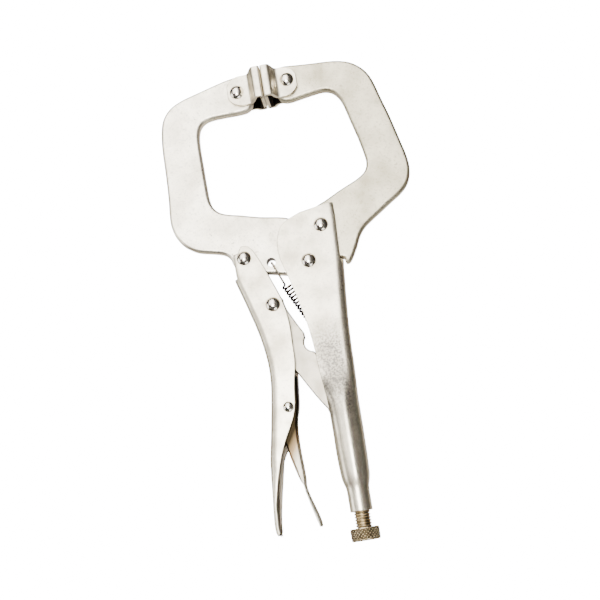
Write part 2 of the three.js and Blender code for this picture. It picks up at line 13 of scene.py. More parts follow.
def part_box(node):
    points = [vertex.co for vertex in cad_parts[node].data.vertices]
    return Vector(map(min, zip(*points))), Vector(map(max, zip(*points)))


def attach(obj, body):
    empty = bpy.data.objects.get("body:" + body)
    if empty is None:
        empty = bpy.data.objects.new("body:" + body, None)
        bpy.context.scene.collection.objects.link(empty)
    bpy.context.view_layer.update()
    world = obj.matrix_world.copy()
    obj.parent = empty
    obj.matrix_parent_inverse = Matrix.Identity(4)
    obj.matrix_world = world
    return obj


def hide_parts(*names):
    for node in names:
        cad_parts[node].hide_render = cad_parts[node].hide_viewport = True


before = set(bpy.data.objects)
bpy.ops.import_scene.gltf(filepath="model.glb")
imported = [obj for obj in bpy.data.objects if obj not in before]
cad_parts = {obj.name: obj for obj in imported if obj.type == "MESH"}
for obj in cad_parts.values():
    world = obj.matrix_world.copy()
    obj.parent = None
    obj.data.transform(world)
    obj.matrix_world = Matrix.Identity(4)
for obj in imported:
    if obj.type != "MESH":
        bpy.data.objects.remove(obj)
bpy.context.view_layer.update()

# ---------------------------------------------------------------- fixed handle
# Nickel-plated steel sheet 2 mm thick, pressed into a channel open to the left. Its back is
# slotted at the top for the fixed jaw; towards the screw the flanges curl into a tube that is
# drawn down to a threaded neck.


def to_row(points):
    """Millimetres from the screw's axis, to metres in the row frame."""
    knob_low, knob_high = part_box("adjusting_knob")
    pivot_low, pivot_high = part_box("jaw_pivot_rivet")
    middle = (np.array(knob_low) + np.array(knob_high)) / 2.0
    middle[2] = (pivot_low[2] + pivot_high[2]) / 2.0
    return np.asarray(points, dtype=float) / 1000.0 + middle


def stations(table, count):
    """Catmull-Rom curve through the rows of a table, every row an equal step; count rows out."""
    p = np.asarray(table, dtype=float)
    p = np.vstack([2 * p[0] - p[1], p, 2 * p[-1] - p[-2]])
    t = np.linspace(0.0, len(p) - 3.0, count)
    i = np.minimum(t.astype(int), len(p) - 4)
    f = (t - i)[:, None]
    a, b, c, d = p[i], p[i + 1], p[i + 2], p[i + 3]
    square = (2 * a - 5 * b + 4 * c - d) * f**2
    cube = (3 * b - a - 3 * c + d) * f**3
    return 0.5 * (2 * b + (c - a) * f + square + cube)


def ease(x, low, high):
    """0 below low, 1 above high, 3t^2 - 2t^3 between them."""
    t = np.clip((x - low) / (high - low), 0.0, 1.0)
    return t * t * (3.0 - 2.0 * t)


def add_mesh(name, points, faces, normals=None):
    """A smooth mesh object in the row frame, from points in millimetres and corner numbers."""
    mesh = bpy.data.meshes.new(name)
    mesh.from_pydata(to_row(points), [], faces)
    mesh.polygons.foreach_set("use_smooth", np.full(len(mesh.polygons), True))
    if normals is not None:
        mesh.normals_split_custom_set_from_vertices(normals)
    mesh.update()
    piece = bpy.data.objects.new(name, mesh)
    bpy.context.scene.collection.objects.link(piece)
    return piece


def mark(piece, name, values):
    """Stores a number on each of the piece's points, for its finish to read."""
    attribute = piece.data.attributes.new(name, "FLOAT", "POINT")
    attribute.data.foreach_set("value", values)


def grid_faces(rows, columns, around=False):
    """Corner numbers of the quads of a rows x columns grid; around joins its last column to its first."""
    i, j = np.meshgrid(np.arange(rows - 1), np.arange(columns - (not around)), indexing="ij")
    here = i * columns
    ahead = here + columns
    beside = (j + 1) % columns
    return np.stack([here + j, here + beside, ahead + beside, ahead + j], axis=-1)


class Wire:
    """A shader socket that adds, subtracts, multiplies and divides like a number."""

    def __init__(self, tree, socket):
        self.tree = tree
        self.socket = socket

    def maths(self, operation, *values):
        node = self.tree.nodes.new("ShaderNodeMath")
        node.operation = operation
        for slot, value in zip(node.inputs, values):
            if isinstance(value, Wire):
                self.tree.links.new(value.socket, slot)
            else:
                slot.default_value = value
        return Wire(self.tree, node.outputs[0])

    def __add__(self, other):
        return self.maths("ADD", self, other)

    def __radd__(self, other):
        return self.maths("ADD", other, self)

    def __sub__(self, other):
        return self.maths("SUBTRACT", self, other)

    def __rsub__(self, other):
        return self.maths("SUBTRACT", other, self)

    def __mul__(self, other):
        return self.maths("MULTIPLY", self, other)

    def __rmul__(self, other):
        return self.maths("MULTIPLY", other, self)

    def __truediv__(self, other):
        return self.maths("DIVIDE", self, other)

    def __rtruediv__(self, other):
        return self.maths("DIVIDE", other, self)

    def between(self, low, high):
        """0 where this is below low, 1 above high, even between."""
        t = (self - low) / (high - low)
        return self.maths("MINIMUM", self.maths("MAXIMUM", t, 0.0), 1.0)

    def away(self):
        """Its distance from 0."""
        return self.maths("MAXIMUM", self, 0.0 - self)


class Finish:
    """A material being built: its Principled shader, and one way to add any other node."""

    def __init__(self, name, metallic=1.0):
        self.material = bpy.data.materials.new(name)
        self.material.use_nodes = True
        self.tree = self.material.node_tree
        self.shader = self.tree.nodes["Principled BSDF"]
        self.shader.inputs["Metallic"].default_value = metallic
        coords = self.tree.nodes.new("ShaderNodeTexCoord")
        self.place = Wire(self.tree, coords.outputs["Object"])

    def node(self, kind, settings, sockets, output=0):
        """A node of that kind: settings first, then socket values or links; gives one output."""
        node = self.tree.nodes.new(kind)
        for key, value in settings.items():
            setattr(node, key, value)
        for key, value in sockets.items():
            if isinstance(value, Wire):
                self.tree.links.new(value.socket, node.inputs[key])
            else:
                node.inputs[key].default_value = value
        return Wire(self.tree, node.outputs[output])

    def noise(self, scale, detail=3.0, roughness=0.55, stretch=(1.0, 1.0, 1.0)):
        """Cloudy pattern from 0 to 1 in Object coordinates, in features per metre."""
        spot = self.node("ShaderNodeVectorMath", {"operation": "MULTIPLY"}, {0: self.place, 1: stretch})
        values = {"Vector": spot, "Scale": scale, "Detail": detail, "Roughness": roughness}
        return self.node("ShaderNodeTexNoise", {}, values)

    def blend_colour(self, amount, first, second):
        """first where amount is 0, second where it is 1."""
        return self.node(
            "ShaderNodeMix", {"data_type": "RGBA"}, {"Factor": amount, "A": first, "B": second}, 2
        )

    def axis(self, number):
        """Object coordinate along x, y or z, in metres."""
        return self.node("ShaderNodeSeparateXYZ", {}, {0: self.place}, number)

    def attribute(self, name):
        """A number stored on the piece's points."""
        return self.node("ShaderNodeAttribute", {"attribute_name": name}, {}, 2)

    def feed(self, socket, wire):
        self.tree.links.new(wire.socket, self.shader.inputs[socket])

    def stain(self, amount, colour):
        """Lays a colour over the finish so far, wholly where amount is 1."""
        under = Wire(self.tree, self.shader.inputs["Base Color"].links[0].from_socket)
        self.feed("Base Color", self.blend_colour(amount, under, colour))

    def bump(self, height, strength, distance):
        """Roughens the surface by a height pattern; distance is in metres."""
        bumped = self.node(
            "ShaderNodeBump", {}, {"Height": height, "Strength": strength, "Distance": distance}
        )
        self.feed("Normal", bumped)


def dimmed(tint, red, green, blue):
    """A colour with its red, green and blue multiplied by these."""
    return (tint[0] * red, tint[1] * green, tint[2] * blue, 1.0)


# metres in the row frame; each pair is where a mask begins and where it is full
MIDDLE_Z = 0.0116
TUBE_END = (-0.075, -0.055)
# where the handles' flat faces near the tube are roughened and painted dark as shade
DRAWN_SHADE_LOW = (-0.080, -0.054)
DRAWN_SHADE_HIGH = (-0.030, -0.012)
DRAWN_SHADE_LEFT = (-0.008, 0.004)
DRAWN_SHADE_RIGHT = (0.0145, 0.0175)
DRAWN_SHADE_DEPTH = (0.0015, 0.0048)


def sheet_nickel(name, rough=0.28, tint=(0.84, 0.765, 0.61, 1.0)):
    """Nickel plate over pressed sheet: bright and warm, cloudy with tarnish, finely pitted.

    Where the channel begins to close into a tube, the sheet pulled into it is rough, with dark specks,
    and its flat faces there are painted dark as shade where the light falls off towards the tube.
    The inner face of the sheet, marked by the piece's "inside" attribute, is rougher and painted dark
    brown as shade in the hollow.
    """
    f = Finish(name, 0.985)
    cloud = f.noise(70.0, 4.0, 0.6)
    speck = f.noise(850.0, 3.0, 0.6)
    fine = f.noise(2200.0, 2.0, 0.5)
    inside = f.attribute("inside")
    dull = dimmed(tint, 0.64, 0.625, 0.59)
    pit = dimmed(tint, 0.40, 0.38, 0.34)
    colour = f.blend_colour(cloud.between(0.40, 0.68), tint, dull)
    tube = 1.0 - f.axis(1).between(*TUBE_END)
    colour = f.blend_colour((0.7 - 0.55 * tube) * speck.between(0.55, 0.80), colour, pit)
    drawn_and_shaded = f.axis(1).between(*DRAWN_SHADE_LOW) * (1.0 - f.axis(1).between(*DRAWN_SHADE_HIGH))
    level = f.axis(2) - MIDDLE_Z
    drawn_and_shaded = drawn_and_shaded * f.axis(0).between(*DRAWN_SHADE_LEFT) * (1.0 - f.axis(0).between(*DRAWN_SHADE_RIGHT))
    drawn_and_shaded = drawn_and_shaded * level.away().between(*DRAWN_SHADE_DEPTH)
    # painted shade: flat faces near the tube laid dark where the light falls off, mottled by the specks
    drawn_shade_colour = (0.15, 0.135, 0.115, 1.0)
    colour = f.blend_colour(drawn_and_shaded * (0.62 + 0.38 * speck.between(0.42, 0.58)), colour, drawn_shade_colour)
    # painted shade: the channel's inner face laid dark brown, in the hollow
    colour = f.blend_colour(inside, colour, (0.27, 0.23, 0.175, 1.0))
    f.feed("Base Color", colour)
    f.feed("Roughness", rough + 0.10 * cloud.between(0.38, 0.70) + 0.06 * speck + 0.22 * inside)
    f.bump((0.6 - 0.4 * tube + 1.4 * drawn_and_shaded) * speck + (0.4 - 0.2 * tube) * fine, 0.12, 0.0003)
    return f


def show(piece, body, material, *nodes):
    """Gives the piece its finish, carries it on its body, and lets it stand for the CAD nodes."""
    if not piece.data.materials:
        piece.data.materials.append(material)
    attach(piece, body)
    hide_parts(*nodes)


def soften_edges(piece, edge):
    """Rounds the sharp edges of a piece by edge millimetres."""
    soft = piece.modifiers.new("edges", "BEVEL")
    soft.width = edge / 1000.0
    soft.segments = 2
    soft.limit_method = "ANGLE"
    soft.angle_limit = np.radians(40.0)
    soft.use_clamp_overlap = False
    soft.harden_normals = True


STEP = 8  # rows of points from one station of a channel to the next
LIP_POINTS = 16  # points across a flange, from its lip to the bend
CREASE_AT = [32.0, 62.0, 82.0, 102.0, 132.0]  # degrees round the tube from its back
CREASE_DIP = [0.0, 1.0, 0.0, 1.0, 0.0]


def channel_table(sides, tube=((0.0, 8.0, 1.0),)):
    """Stations of a channel: back x and y, near and far lip x, lip y, then the tube's columns.

    tube gives the roundness, radius and slit at the last stations; its first row serves all
    the stations before them.
    """
    tube = np.array(tube, dtype=float)
    before = np.tile(tube[:1], (len(sides) - len(tube), 1))
    return np.hstack([np.array(sides, dtype=float), np.vstack([before, tube])])


def channel_rows(t, half, corner, inset):
    """One face of a pressed channel's sheet, one row of points for each station along it.

    Across, a point runs from the near lip straight to the bend, round a quarter circle of the
    corner's radius to the back, and the same way to the far lip; where it is round it moves
    towards a circle split by the slit, flattened either side of a faint crease 82 degrees from
    the back. inset, one value per row, takes the whole face that far into the sheet.
    """
    back, back_y, near, far, lip_y, roundness, radius, slit = t.T
    back = back - inset
    half = half - inset
    radius = radius - inset
    run = np.linspace(0.0, 1.0, LIP_POINTS, endpoint=False)
    turn = np.radians(np.concatenate([np.linspace(90.0, 50.0, 6), np.linspace(42.0, 0.0, 6)]))

    def side_of(lip):
        outer = np.minimum(corner, 0.8 * (back + inset - lip))
        bend = np.maximum(outer - inset, 0.15)
        x = lip[:, None] + (back - bend - lip)[:, None] * run
        y = lip_y[:, None] + (back_y - lip_y)[:, None] * run
        arc_x = (back - bend)[:, None] + bend[:, None] * np.cos(turn)
        arc_z = (half - bend)[:, None] + bend[:, None] * np.sin(turn)
        flat = np.broadcast_to(half[:, None], x.shape)
        arc_y = np.broadcast_to(back_y[:, None], arc_x.shape)
        return tuple(np.concatenate(pair, axis=1) for pair in ((x, arc_x), (y, arc_y), (flat, arc_z)))

    near_side = side_of(near)
    far_side = [part[:, ::-1][:, 1:] for part in side_of(far)]
    x = np.concatenate([near_side[0], far_side[0]], axis=1)
    y = np.concatenate([near_side[1], far_side[1]], axis=1)
    z = np.concatenate([near_side[2], -far_side[2]], axis=1)
    opening = np.arcsin(np.clip(slit / radius, -0.95, 0.95))
    angle = (np.pi - opening)[:, None] * np.linspace(1.0, -1.0, x.shape[1])
    dip = np.interp(np.degrees(np.abs(angle)), CREASE_AT, CREASE_DIP)
    rolled = radius[:, None] * (1.0 - 0.042 * dip * ease(radius, 6.0, 7.6)[:, None])
    k = np.clip(roundness, 0.0, 1.0)[:, None]
    x = x + (rolled * np.cos(angle) - x) * k
    return np.stack([x, y, z + (rolled * np.sin(angle) - z) * k], axis=-1)


def pressed_sheet(name, outer, inner, keep):
    """Closed sheet between two grids of points that match one to one.

    Every kept cell of the grid gives a quad on the outer face and one on the inner face; each
    edge that belongs to only one kept cell gives a quad across the sheet. The faces are turned
    outwards by the sign of the volume they enclose.
    """
    rows, columns = outer.shape[:2]
    quads = grid_faces(rows, columns)[keep]
    edges = np.stack([quads, np.roll(quads, -1, axis=1)], axis=-1).reshape(-1, 2)
    tag = np.sort(edges, axis=1) @ np.array([rows * columns, 1])
    once = np.isin(tag, np.unique(tag)[np.unique(tag, return_counts=True)[1] == 1])
    rim = edges[once]
    beyond = rows * columns
    wall = np.concatenate([rim[:, ::-1], rim + beyond], axis=1)
    faces = np.vstack([quads, quads[:, ::-1] + beyond, wall])
    points = np.vstack([outer.reshape(-1, 3), inner.reshape(-1, 3)])
    used, faces = np.unique(faces, return_inverse=True)
    faces = faces.reshape(-1, 4)
    points = points[used]
    p = points[faces]
    volume = np.sum(np.cross(p[:, 1] - p[:, 0], p[:, 2] - p[:, 0]) * p[:, 0])
    volume += np.sum(np.cross(p[:, 2] - p[:, 0], p[:, 3] - p[:, 0]) * p[:, 0])
    if volume < 0:
        faces = faces[:, ::-1]
    piece = add_mesh(name, points, faces.tolist())
    mark(piece, "inside", (used >= beyond).astype(float))
    return piece


def pressed_channel(name, table, half, corner, sheet, side, slotted=0):
    """A channel of sheet, its back on the side given and cut away over its first slotted stations.

    half is half its width, corner the radius of its bends, sheet the thickness at some heights.
    """
    count = (len(table) - 1) * STEP + 1
    t = stations(table, count)
    wall = np.interp(t[:, 1], *np.array(sheet).T)
    outer = channel_rows(t, half, corner, 0.0 * wall)
    inner = channel_rows(t, half, corner, wall)
    for face in (outer, inner):
        face[..., 0] *= side
    across = np.arange(outer.shape[1] - 1)
    slot = (across > LIP_POINTS + 4) & (across < len(across) - LIP_POINTS - 5)
    keep = ~((np.arange(count - 1) < slotted * STEP)[:, None] & slot[None, :])
    return pressed_sheet(name, outer, inner, keep)


# back x, back y, near lip x, far lip x, lip y of a channel at each station down it
HANDLE_SIDES = [
    [15.1, 188.2, -6.5, -6.5, 185.6],
    [15.3, 184.0, -13.4, -13.4, 182.8],
    [15.2, 179.5, -18.2, -18.2, 179.4],
    [15.0, 174.5, -20.9, -20.9, 174.6],
    [14.8, 169.5, -22.0, -22.0, 169.4],
    [14.6, 164.5, -22.2, -22.2, 164.2],
    [14.3, 159.5, -21.6, -21.6, 159.4],
    [14.0, 154.4, -20.3, -20.3, 154.6],
    [13.4, 149.0, -18.8, -18.8, 149.0],
    [12.9, 143.0, -17.3, -17.3, 143.0],
    [12.3, 137.0, -15.8, -15.8, 137.0],
    [11.8, 131.0, -14.5, -14.5, 131.0],
    [11.3, 125.0, -13.3, -13.3, 125.0],
    [10.8, 119.0, -12.3, -12.3, 119.0],
    [10.5, 113.0, -11.5, -11.5, 113.0],
    [10.2, 107.0, -10.9, -10.9, 107.0],
    [10.0, 101.0, -10.5, -10.5, 101.0],
    [9.9, 95.0, -10.2, -10.2, 95.0],
    [9.8, 89.0, -10.0, -10.0, 89.0],
    [9.7, 83.0, -9.9, -9.9, 83.0],
    [9.6, 77.0, -9.8, -9.8, 77.0],
    [9.4, 71.0, -9.6, -9.6, 71.0],
    [9.3, 65.0, -9.6, -9.6, 65.0],
    [9.0, 59.0, -9.5, -9.5, 59.0],
    [8.9, 53.0, -9.5, -9.5, 53.0],
    [8.7, 47.0, -9.5, -9.5, 47.0],
    [8.5, 41.0, -9.5, -9.5, 41.0],
    [8.3, 36.0, -9.5, -9.5, 36.0],
    [8.0, 32.0, -9.5, -9.5, 32.0],
    [7.4, 29.0, -9.5, -9.5, 29.0],
    [6.7, 26.6, -9.5, -9.5, 26.6],
    [6.4, 24.6, -9.5, -9.5, 24.6],
    [6.3, 21.0, -9.5, -9.5, 21.0],
    [6.3, 17.0, -9.5, -9.5, 17.0],
    [6.3, 12.6, -9.5, -9.5, 12.6],
]
# roundness, radius and slit of the tube, at the last stations
HANDLE_TUBE = [
    [0, 8.9, 2.9],
    [0.02, 8.9, 2.9],
    [0.16, 8.9, 2.9],
    [0.42, 8.9, 2.9],
    [0.72, 8.9, 2.9],
    [0.94, 8.9, 2.8],
    [1, 8.9, 2.7],
    [1, 8.85, 2.6],
    [1, 8.75, 2.2],
    [1, 8.65, 0.9],
    [1, 8.5, 0.35],
    [1, 8.3, 0.3],
    [1, 8.0, 0.3],
    [1, 7.4, 0.3],
    [1, 6.7, 0.3],
    [1, 6.38, 0.3],
    [1, 6.3, 0.3],
    [1, 6.3, 0.3],
    [1, 6.3, 0.3],
]

HALF_WIDTH = 5.8  # of both handles
fixed_handle = pressed_channel(
    "fixed_handle_pressing", channel_table(HANDLE_SIDES, HANDLE_TUBE), HALF_WIDTH, 4.6,
    [(24.0, 1.4), (34.0, 2.0)], 1.0, 7
)
soften_edges(fixed_handle, 0.35)
handle_finish = sheet_nickel("handle nickel")
show(fixed_handle, "fixed_handle", handle_finish.material, "fixed_handle")

# ---------------------------------------------------------------- fixed jaw
# Drop-forged steel bow 7 mm thick with well rounded edges, nickel plated. It runs through the
# slot in the handle's back and bears on the handle with its heel.


JAW_HALF = 3.5  # half the thickness of both jaws
JAW_EDGE = 1.9
HOLE_EDGE = 0.35


def plate_mesh(name, outline, holes, half, edge, steps=6):
    """A flat plate with quarter-round edges.

    Every point of the outline moves in by edge*(1 - sin a) and sits at half - edge*(1 - cos a)
    as a goes from 0 at the flat face to 90 degrees at the side wall; the flat faces are filled,
    with the holes left open and given a small edge of their own.
    """
    loops = [(np.asarray(outline), edge)] + [(np.asarray(hole)[::-1], HOLE_EDGE) for hole in holes]
    a = np.radians(np.linspace(0.0, 90.0, steps + 1))
    face = np.repeat([1.0, -1.0], steps + 1)
    lean = np.concatenate([np.sin(a), np.sin(a[::-1])])[:, None, None]
    rise = np.concatenate([np.cos(a), -np.cos(a[::-1])])[:, None, None]
    face = face[:, None, None]
    points, normals, faces = [], [], []
    top_rings, bottom_rings = [], []
    start = 0
    for loop, radius in loops:
        n = len(loop)
        ahead = np.roll(loop, -1, axis=0) - np.roll(loop, 1, axis=0)
        out = np.stack([ahead[:, 1], -ahead[:, 0]], axis=1)
        out /= np.linalg.norm(out, axis=1)[:, None]
        xy = loop[None] - out[None] * (radius * (1 - lean))
        side = out[None] * lean
        ones = np.ones_like(xy[..., :1])
        height = face * (half - radius * (1 - face * rise))
        points.append(np.concatenate([xy, height * ones], axis=-1).reshape(-1, 3))
        normals.append(np.concatenate([side, rise * ones], axis=-1).reshape(-1, 3))
        quads = grid_faces(len(lean), n, around=True) + start
        faces += quads.reshape(-1, 4)[:, ::-1].tolist()
        top_rings.append(np.arange(n) + start)
        start += len(lean) * n
        bottom_rings.append(np.arange(n) + start - n)
    points = np.concatenate(points)
    for rings, up in ((top_rings, True), (bottom_rings, False)):
        numbers = np.concatenate(rings)
        triangles = tessellate_polygon([[Vector(p) for p in points[r]] for r in rings])
        corners = numbers[np.array(triangles)]
        p = points[corners]
        turn = np.cross(p[:, 1] - p[:, 0], p[:, 2] - p[:, 0])[:, 2]
        wrong = (turn > 0) != up
        corners[wrong] = corners[wrong][:, ::-1]
        faces += corners.tolist()
    return add_mesh(name, points, faces, np.concatenate(normals))


def even_spacing(run, count):
    """A run of points cut again into count points, the same distance apart along it."""
    way = np.concatenate([[0.0], np.cumsum(np.linalg.norm(np.diff(run, axis=0), axis=1))])
    even = np.linspace(0.0, way[-1], count)
    return np.stack([np.interp(even, way, column) for column in run.T], axis=1)


def smooth_run(points, count):
    """Catmull-Rom curve through the given points, cut into count points at even spacing."""
    return even_spacing(stations(points, 40 * (len(points) + 2)), count)


def anticlockwise(loop):
    """The outline, turned round if it runs clockwise."""
    area = np.sum(loop[:, 0] * np.roll(loop[:, 1], -1) - loop[:, 1] * np.roll(loop[:, 0], -1))
    return loop if area > 0 else loop[::-1]


def closed_run(points, count):
    """Catmull-Rom curve round a closed outline, at even spacing, anticlockwise."""
    p = np.asarray(points, dtype=float)
    p = np.vstack([p[-3:], p, p[:4]])
    run = smooth_run(p, 40 * len(p))
    near_end = 40 * 8
    first = np.argmin(np.linalg.norm(run[:near_end] - p[3], axis=1))
    last = len(run) - 1 - np.argmin(np.linalg.norm(run[::-1][:near_end] - p[-4], axis=1))
    return anticlockwise(even_spacing(run[first : last + 1], count + 1)[:-1])


def forged_nickel(name, tint):
    """Nickel plate over a forging: satin, softly uneven, speckled and nicked."""
    f = Finish(name, 0.975)
    dull = dimmed(tint, 0.66, 0.65, 0.62)
    speckled = dimmed(tint, 0.45, 0.435, 0.40)
    cloud = f.noise(55.0, 4.0, 0.6)
    fine = f.noise(900.0, 3.0, 0.6)
    lumps = f.noise(160.0, 2.0, 0.5)
    colour = f.blend_colour(cloud.between(0.38, 0.70), tint, dull)
    colour = f.blend_colour(0.8 * fine.between(0.52, 0.78), colour, speckled)
    nicks = f.noise(380.0, 1.0, 0.4, (1.0, 1.0, 0.3)).between(0.72, 0.77)
    colour = f.blend_colour(0.7 * nicks, colour, (0.34, 0.29, 0.22, 1.0))
    f.feed("Base Color", colour)
    f.feed("Roughness", 0.31 + 0.10 * cloud.between(0.38, 0.68) + 0.06 * fine)
    f.bump(0.75 * lumps + 0.25 * fine - 0.8 * nicks, 0.16, 0.0006)
    return f


fixed_jaw_outline = closed_run([
    [-8.5, 268.0], [-8.3, 272.8], [-6.6, 276.0], [-2.0, 277.1], [6.0, 276.4], [14.1, 275.7],
    [24.0, 275.0], [31.0, 274.0], [37.0, 272.0], [42.0, 268.6], [46.0, 264.0], [49.0, 257.5],
    [52.0, 245.5], [55.0, 234.0], [58.2, 219.0], [60.2, 209.5], [60.8, 202.5], [60.0, 197.0],
    [57.6, 191.8], [53.0, 187.2], [47.0, 183.3], [40.0, 178.6], [33.5, 174.3], [29.0, 170.8],
    [25.8, 166.6], [22.6, 160.0], [19.4, 154.4], [17.6, 152.2], [15.8, 151.7], [14.9, 152.6],
    [14.6, 154.6], [12.6, 155.6], [9.6, 156.4], [7.0, 159.6], [4.0, 165.2], [-0.6, 168.6],
    [-3.6, 172.6], [-4.3, 177.4], [-3.0, 182.4], [0.6, 186.6], [5.6, 189.2], [9.7, 190.9],
    [18.7, 195.3], [28.0, 199.3], [33.0, 202.2], [35.7, 205.5], [36.6, 210.0], [36.0, 216.0],
    [34.2, 225.8], [31.7, 236.5], [29.3, 247.0], [27.0, 252.4], [23.6, 255.9], [19.0, 257.3],
    [12.2, 256.7], [4.8, 255.6], [-0.8, 254.8], [-5.0, 255.4], [-7.8, 258.4], [-8.5, 262.5],
], 420)
fixed_jaw = plate_mesh("fixed_jaw_forging", fixed_jaw_outline, [], JAW_HALF, JAW_EDGE)
# painted shade: the fixed jaw, on the right, has a darker copy of the jaws' nickel for the weaker light
# there
fixed_jaw_shaded_finish = forged_nickel("fixed jaw nickel shaded", (0.60, 0.54, 0.40, 1.0))
show(fixed_jaw, "fixed_handle", fixed_jaw_shaded_finish.material, "fixed_jaw")

# ---------------------------------------------------------------- moving jaw
# The same kind of forging, pivoted in the handle's flanges, with a 5 mm hole for the spring
# whose wall is painted near black as shade.
SPRING_HOLE = (-27.2, 159.7)
HOLE_RADIUS = 2.5


def arc(centre, radius, start, end, count):
    """count points on a circle, from the start angle to the end angle in degrees."""
    a = np.radians(np.linspace(start, end, count))
    return np.stack([centre[0] + radius * np.cos(a), centre[1] + radius * np.sin(a)], axis=1)


moving_jaw_outline = closed_run([
    [-22.5, 266.0], [-22.9, 271.5], [-24.6, 275.0], [-29.0, 276.0], [-36.4, 275.2], [-44.2, 273.4],
    [-53.7, 270.9], [-60.2, 269.2], [-66.5, 267.2], [-72.3, 264.2], [-76.3, 260.0], [-78.8, 254.8],
    [-80.2, 247.0], [-80.8, 238.0], [-80.9, 224.0], [-81.3, 209.0], [-82.0, 199.0], [-81.9, 191.8],
    [-80.0, 184.8], [-76.6, 179.6], [-73.0, 176.5], [-67.8, 173.6], [-60.0, 171.6], [-53.8, 169.6],
    [-50.6, 166.6], [-49.2, 162.4], [-47.4, 158.8], [-44.0, 156.6], [-39.0, 155.6], [-30.1, 153.8],
    [-19.4, 151.1], [-14.4, 149.6], [-10.2, 148.3], [-5.7, 147.6], [-1.0, 148.4], [2.0, 151.0],
    [3.3, 156.0], [2.0, 161.0], [-1.4, 164.8], [-5.2, 169.0], [-7.2, 174.4], [-9.2, 180.0],
    [-12.6, 183.6], [-17.6, 185.6], [-29.9, 188.1], [-41.3, 191.3], [-48.6, 193.2], [-53.2, 195.5],
    [-56.2, 199.5], [-57.5, 205.0], [-57.7, 210.0], [-57.9, 217.0], [-58.0, 225.0], [-58.2, 236.0],
    [-57.8, 243.5], [-56.4, 248.2], [-53.5, 251.3], [-49.0, 252.7], [-41.1, 253.0], [-32.0, 253.0],
    [-26.6, 253.8], [-23.6, 256.6], [-22.6, 261.0],
], 440)
spring_hole = arc(SPRING_HOLE, HOLE_RADIUS, 0.0, 360.0, 49)[:-1]
moving_jaw = plate_mesh("moving_jaw_forging", moving_jaw_outline, [spring_hole], JAW_HALF, JAW_EDGE)
# painted light: the moving jaw, on the left, has a lighter copy of the same nickel for the stronger light
# there
moving_jaw_lit_finish = forged_nickel("moving jaw nickel lit", (0.97, 0.89, 0.73, 1.0))
hole_place = to_row([*SPRING_HOLE, 0.0])
from_hole_x = moving_jaw_lit_finish.axis(0) - hole_place[0]
from_hole_y = moving_jaw_lit_finish.axis(1) - hole_place[1]
# painted shade: the hole's wall and a thin ring round it laid near black
hole_wall_shade = 1.0 - (from_hole_x * from_hole_x + from_hole_y * from_hole_y).between(0.0026**2, 0.0029**2)
moving_jaw_lit_finish.stain(hole_wall_shade, (0.03, 0.025, 0.02, 1.0))
show(moving_jaw, "moving_jaw", moving_jaw_lit_finish.material, "moving_jaw")

# ---------------------------------------------------------------- movable handle
# Nickel-plated sheet pressed into a channel open to the right. Its back is cut away above the
# jaw pivot so that the jaw can swing, and its flanges run out to nothing at the tip.
GRIP_SIDES = [
    [49.9, 167.6, 43.2, 43.2, 171.7],
    [50.1, 164.6, 39.6, 39.6, 171.2],
    [50.1, 161.4, 37.0, 36.9, 168.6],
    [50.0, 158.0, 34.9, 34.7, 164.6],
    [49.8, 153.2, 32.3, 32.0, 158.8],
    [48.8, 149.0, 29.8, 29.5, 151.8],
    [47.0, 143.0, 27.0, 26.7, 144.0],
    [45.3, 137.0, 24.7, 24.4, 137.0],
    [43.7, 131.0, 23.3, 23.0, 131.0],
    [42.1, 125.0, 22.6, 22.3, 125.0],
    [40.7, 119.0, 22.3, 22.0, 119.0],
    [39.6, 113.0, 22.4, 22.0, 113.0],
    [38.8, 107.0, 22.5, 22.1, 107.0],
    [38.3, 101.0, 22.7, 22.3, 101.0],
    [38.3, 95.0, 23.6, 22.7, 95.0],
    [38.7, 89.0, 24.8, 23.3, 89.0],
    [39.5, 83.0, 25.7, 24.0, 83.0],
    [40.4, 77.0, 26.4, 24.7, 77.0],
    [41.4, 71.0, 28.0, 26.2, 71.0],
    [42.4, 65.0, 30.7, 28.8, 65.0],
    [43.5, 59.0, 33.9, 31.9, 59.0],
    [44.6, 53.0, 36.8, 34.8, 53.0],
    [45.6, 47.0, 39.1, 38.1, 47.0],
    [46.2, 41.0, 41.0, 39.5, 41.0],
    [46.6, 35.0, 42.7, 40.8, 35.0],
    [47.0, 29.0, 44.1, 42.1, 29.0],
    [47.5, 23.0, 45.4, 43.3, 23.0],
    [48.0, 17.5, 45.8, 44.3, 17.5],
    [48.3, 12.5, 46.1, 45.0, 12.5],
    [48.2, 9.4, 46.0, 45.4, 9.4],
    [47.9, 7.6, 45.8, 45.6, 7.9],
    [47.3, 6.4, 46.3, 46.2, 6.7],
]
movable_handle = pressed_channel(
    "movable_handle_pressing", channel_table(GRIP_SIDES), HALF_WIDTH, 4.4, [(0.0, 2.0)], -1.0, 4
)
soften_edges(movable_handle, 0.35)
show(movable_handle, "movable_handle", handle_finish.material, "movable_handle")

# ---------------------------------------------------------------- toggle link
# Flat link stamped from 4 mm plate, pinned in the movable handle, its loose end in the tube.
# The round bite in its upper edge clears the spring's anchor; its side wall is painted near black as
# shade.


def joined(*runs):
    """Runs of outline joined end to end, anticlockwise, without doubled points."""
    loop = np.vstack(runs)
    gap = np.linalg.norm(loop - np.roll(loop, 1, axis=0), axis=1)
    return anticlockwise(loop[gap > 0.15])


